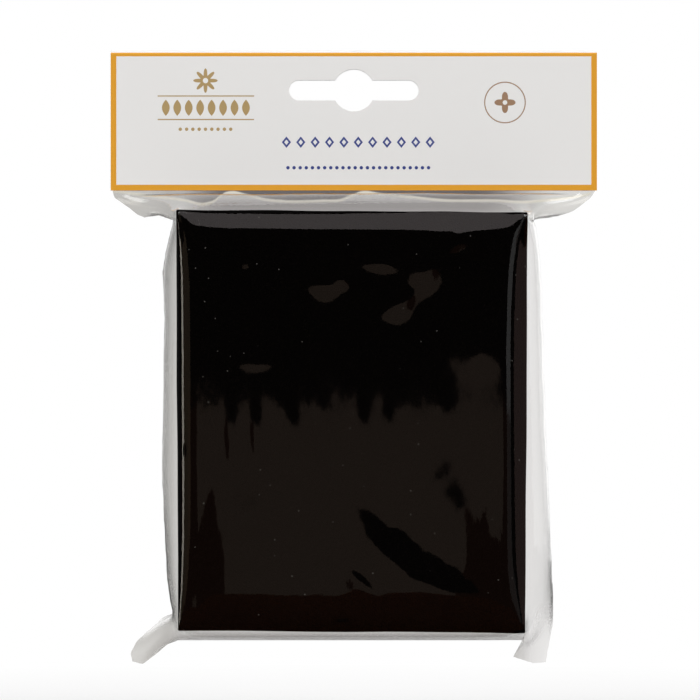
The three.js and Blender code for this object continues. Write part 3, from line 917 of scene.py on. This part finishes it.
def floor_sheet():
    material, output = new_material("pale_floor")
    tree = material.node_tree
    path = node(tree, "ShaderNodeLightPath")
    place = node(tree, "ShaderNodeTexCoord"), "Object"
    axes = node(tree, "ShaderNodeSeparateXYZ", {"Vector": place})
    fore = ramp(tree, (axes, "Y"), *DARK_BAND)
    dark = calc(tree, "MULTIPLY", (path, "Is Glossy Ray"), fore)
    shade = colour_between(tree, dark, PALE_FLOOR, DARK_ROOM)
    matt = node(tree, "ShaderNodeBsdfDiffuse", {"Color": shade})
    flat = node(tree, "ShaderNodeVectorMath", {0: place, 1: (1, 1, 0)}, operation="MULTIPLY")
    far = node(tree, "ShaderNodeVectorMath", {0: (flat, 0)}, operation="LENGTH")
    lift = ramp(tree, (far, "Value"), *WHITE_BAND, out=(0.3, 1.0))
    bright = calc(tree, "MULTIPLY", lift, calc(tree, "SUBTRACT", 1.0, dark))
    seen = {"Color": WHITE, "Strength": (path, "Is Camera Ray")}
    glow = node(tree, "ShaderNodeEmission", seen)
    surface = node(tree, "ShaderNodeMixShader", {0: bright, 1: (matt, 0), 2: (glow, 0)})
    tree.links.new(surface.outputs[0], output.inputs[0])
    corners = np.array([(-1, -1), (1, -1), (1, 1), (-1, 1)]) * FLOOR_REACH
    corners[:2, 1] = FLOOR_FRONT
    points = np.concatenate([corners, np.full((4, 1), FLOOR_LEVEL)], 1)
    return mesh_piece("floor", points, np.array([[0, 1, 2, 3]]), material)


floor_sheet()


# Lamps: soft rectangular ones round the pack, unseen by the camera, given as their place,
# what they face, their width and height, their radiance and their colour.
def lamp(name, place, aim, size, radiance, colour=(1, 1, 1)):
    """A soft rectangular lamp whose face has the given radiance."""
    light = bpy.data.lights.new(name, "AREA")
    light.shape = "RECTANGLE"
    light.size, light.size_y = size
    light.energy = radiance * np.pi * size[0] * size[1]
    light.color = colour
    holder = bpy.data.objects.new(name, light)
    holder.location = place
    holder.rotation_euler = (Vector(aim) - Vector(place)).to_track_quat("-Z", "Y").to_euler()
    holder.visible_camera = False
    bpy.context.scene.collection.objects.link(holder)
    return holder


MIDDLE = (0, 0, -0.06)
# The key lamps stand diagonally, where neither the top edge nor the side edges mirror them.
for side in (-1, 1):
    lamp("key_lamp", (side * 1.0, -0.9, 0.95), MIDDLE, (1.3, 1.3), 3.72)
    lamp("back_lamp", (side * 1.0, 1.2, 0.95), MIDDLE, (1.0, 1.0), 3.2)
lamp("top_lamp", (0.0, -0.98, 0.79), MIDDLE, (0.7, 1.6), 0.5, (1.0, 0.9, 0.9))
# Dim screens beside the camera, which the film's rounded sides mirror
lamp("left_screen", (-0.72, -1.1, 0.1), (-0.04, 0, 0.1), (0.8, 0.5), 0.11, (1.0, 0.75, 0.5))
lamp("left_lamp", (-1.06, -0.75, 0.1), (-0.04, 0, 0.1), (0.36, 0.5), 2.0, (1.0, 0.93, 0.82))
lamp("right_screen", (0.43, -1.26, 0.13), (0.04, 0, 0.13), (0.26, 0.44), 0.26)
lamp("right_low_screen", (0.43, -1.26, -0.135), (0.04, 0, -0.135), (0.26, 0.09), 0.07)
lamp("right_lamp", (1.1, -0.73, 0.1), (0.04, 0, 0.1), (1.2, 0.5), 0.15, (1.0, 0.68, 0.62))
lamp("right_side_lamp", (1.5, 0.3, 0.0), MIDDLE, (1.2, 1.2), 0.7)
lamp("left_back_lamp", (-0.95, 1.2, 0.0), MIDDLE, (1.1, 1.2), 0.2)
lamp("right_back_lamp", (0.95, 1.2, 0.0), MIDDLE, (1.1, 1.2), 1.45)
# What the film on the block's face mirrors beyond the floor's front edge
LOW, LOW_HEIGHT = -0.163, 0.145
lamp("low_front_lamp", (0.0, -1.5, LOW), (0, 0, LOW), (0.26, LOW_HEIGHT), 0.11, (1.0, 0.73, 0.56))
for aside in (-0.38, 0.38):
    place, aim = (aside, -1.5, LOW), (aside, 0, LOW)
    lamp("low_side_screen", place, aim, (0.5, LOW_HEIGHT), 0.028, (1.0, 0.36, 0.18))


# Room: dim in front of the pack and pale straight behind it, as the film mirrors it. The
# camera sees plain white.
ROOM_BAND, ROOM_LIGHT = (-0.3, 0.4), (0.004, 0.06)
BACKDROP_BAND, BACKDROP_LIGHT = (0.93, 0.98), (0.0, 0.9)
world = bpy.data.worlds.new("studio")
bpy.context.scene.world = world
world.use_nodes = True
sky = world.node_tree
sky.nodes.clear()
path = node(sky, "ShaderNodeLightPath")
way = node(sky, "ShaderNodeTexCoord"), "Generated"
axes = node(sky, "ShaderNodeSeparateXYZ", {"Vector": way})
room = ramp(sky, (axes, "Y"), *ROOM_BAND, out=ROOM_LIGHT)
backdrop = ramp(sky, (axes, "Y"), *BACKDROP_BAND, out=BACKDROP_LIGHT)
strength = calc(sky, "ADD", room, backdrop)
dim = node(sky, "ShaderNodeBackground", {"Color": WHITE, "Strength": strength})
white = node(sky, "ShaderNodeBackground", {"Color": WHITE, "Strength": 1.0})
either = node(sky, "ShaderNodeMixShader", {0: (path, "Is Camera Ray"), 1: (dim, 0), 2: (white, 0)})
out = node(sky, "ShaderNodeOutputWorld")
sky.links.new(either.outputs[0], out.inputs[0])


# Camera: level, square to the card, with a long lens. The middle of the hang slot lies at
# the named pixel of the frame.
CAMERA_DISTANCE = 1.4
SENSOR_WIDTH = 36
PIXELS_PER_METRE = 4050
FRAME_PIXELS = 700
SLOT_PIXEL = (353.8, 90.5)
camera_data = bpy.data.cameras.new("camera")
camera_data.sensor_width = SENSOR_WIDTH
camera_data.lens = SENSOR_WIDTH * CAMERA_DISTANCE / (FRAME_PIXELS / PIXELS_PER_METRE)
camera = bpy.data.objects.new("camera", camera_data)
camera.location = (
    (FRAME_PIXELS / 2 - SLOT_PIXEL[0]) / PIXELS_PER_METRE,
    -CAMERA_DISTANCE,
    (SLOT_PIXEL[1] - FRAME_PIXELS / 2) / PIXELS_PER_METRE,
)
camera.rotation_euler = (np.pi / 2, 0, 0)
bpy.context.scene.collection.objects.link(camera)
bpy.context.scene.camera = camera

bpy.context.scene.view_settings.view_transform = "Standard"
